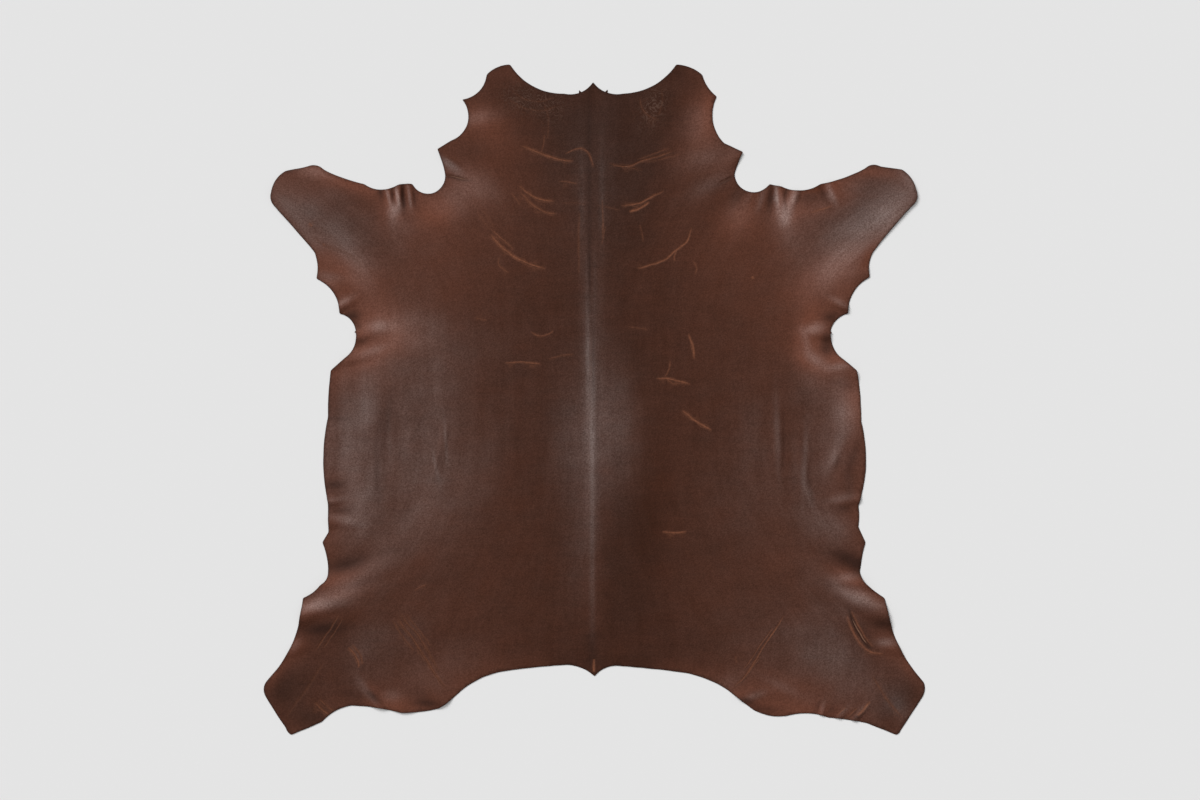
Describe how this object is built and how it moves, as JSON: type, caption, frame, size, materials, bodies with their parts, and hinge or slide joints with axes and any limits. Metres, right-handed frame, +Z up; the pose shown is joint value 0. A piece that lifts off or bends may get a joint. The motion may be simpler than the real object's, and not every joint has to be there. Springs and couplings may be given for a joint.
{
  "type": "leather hide",
  "caption": "Full tanned cowhide lying grain side up: one sheet with neck, fore legs, hind legs and rippled flanks, to be cut, upholstered or laid out.",
  "frame": {"origin": "on the surface the hide lies on, under the middle of its box", "axes": "+Z up through the grain side, +Y from the tail towards the neck, +X to the right-hand side seen from above"},
  "size_m": [2.269, 2.3, 0.0146],
  "materials": {
    "leather": "brown aniline-dyed full-grain leather, waxed, with a soft sheen, rust-coloured scars and growth wrinkles, and a napped flesh side"
  },
  "bodies": {
    "root": {"hide": "leather"}
  },
  "joints": []
}
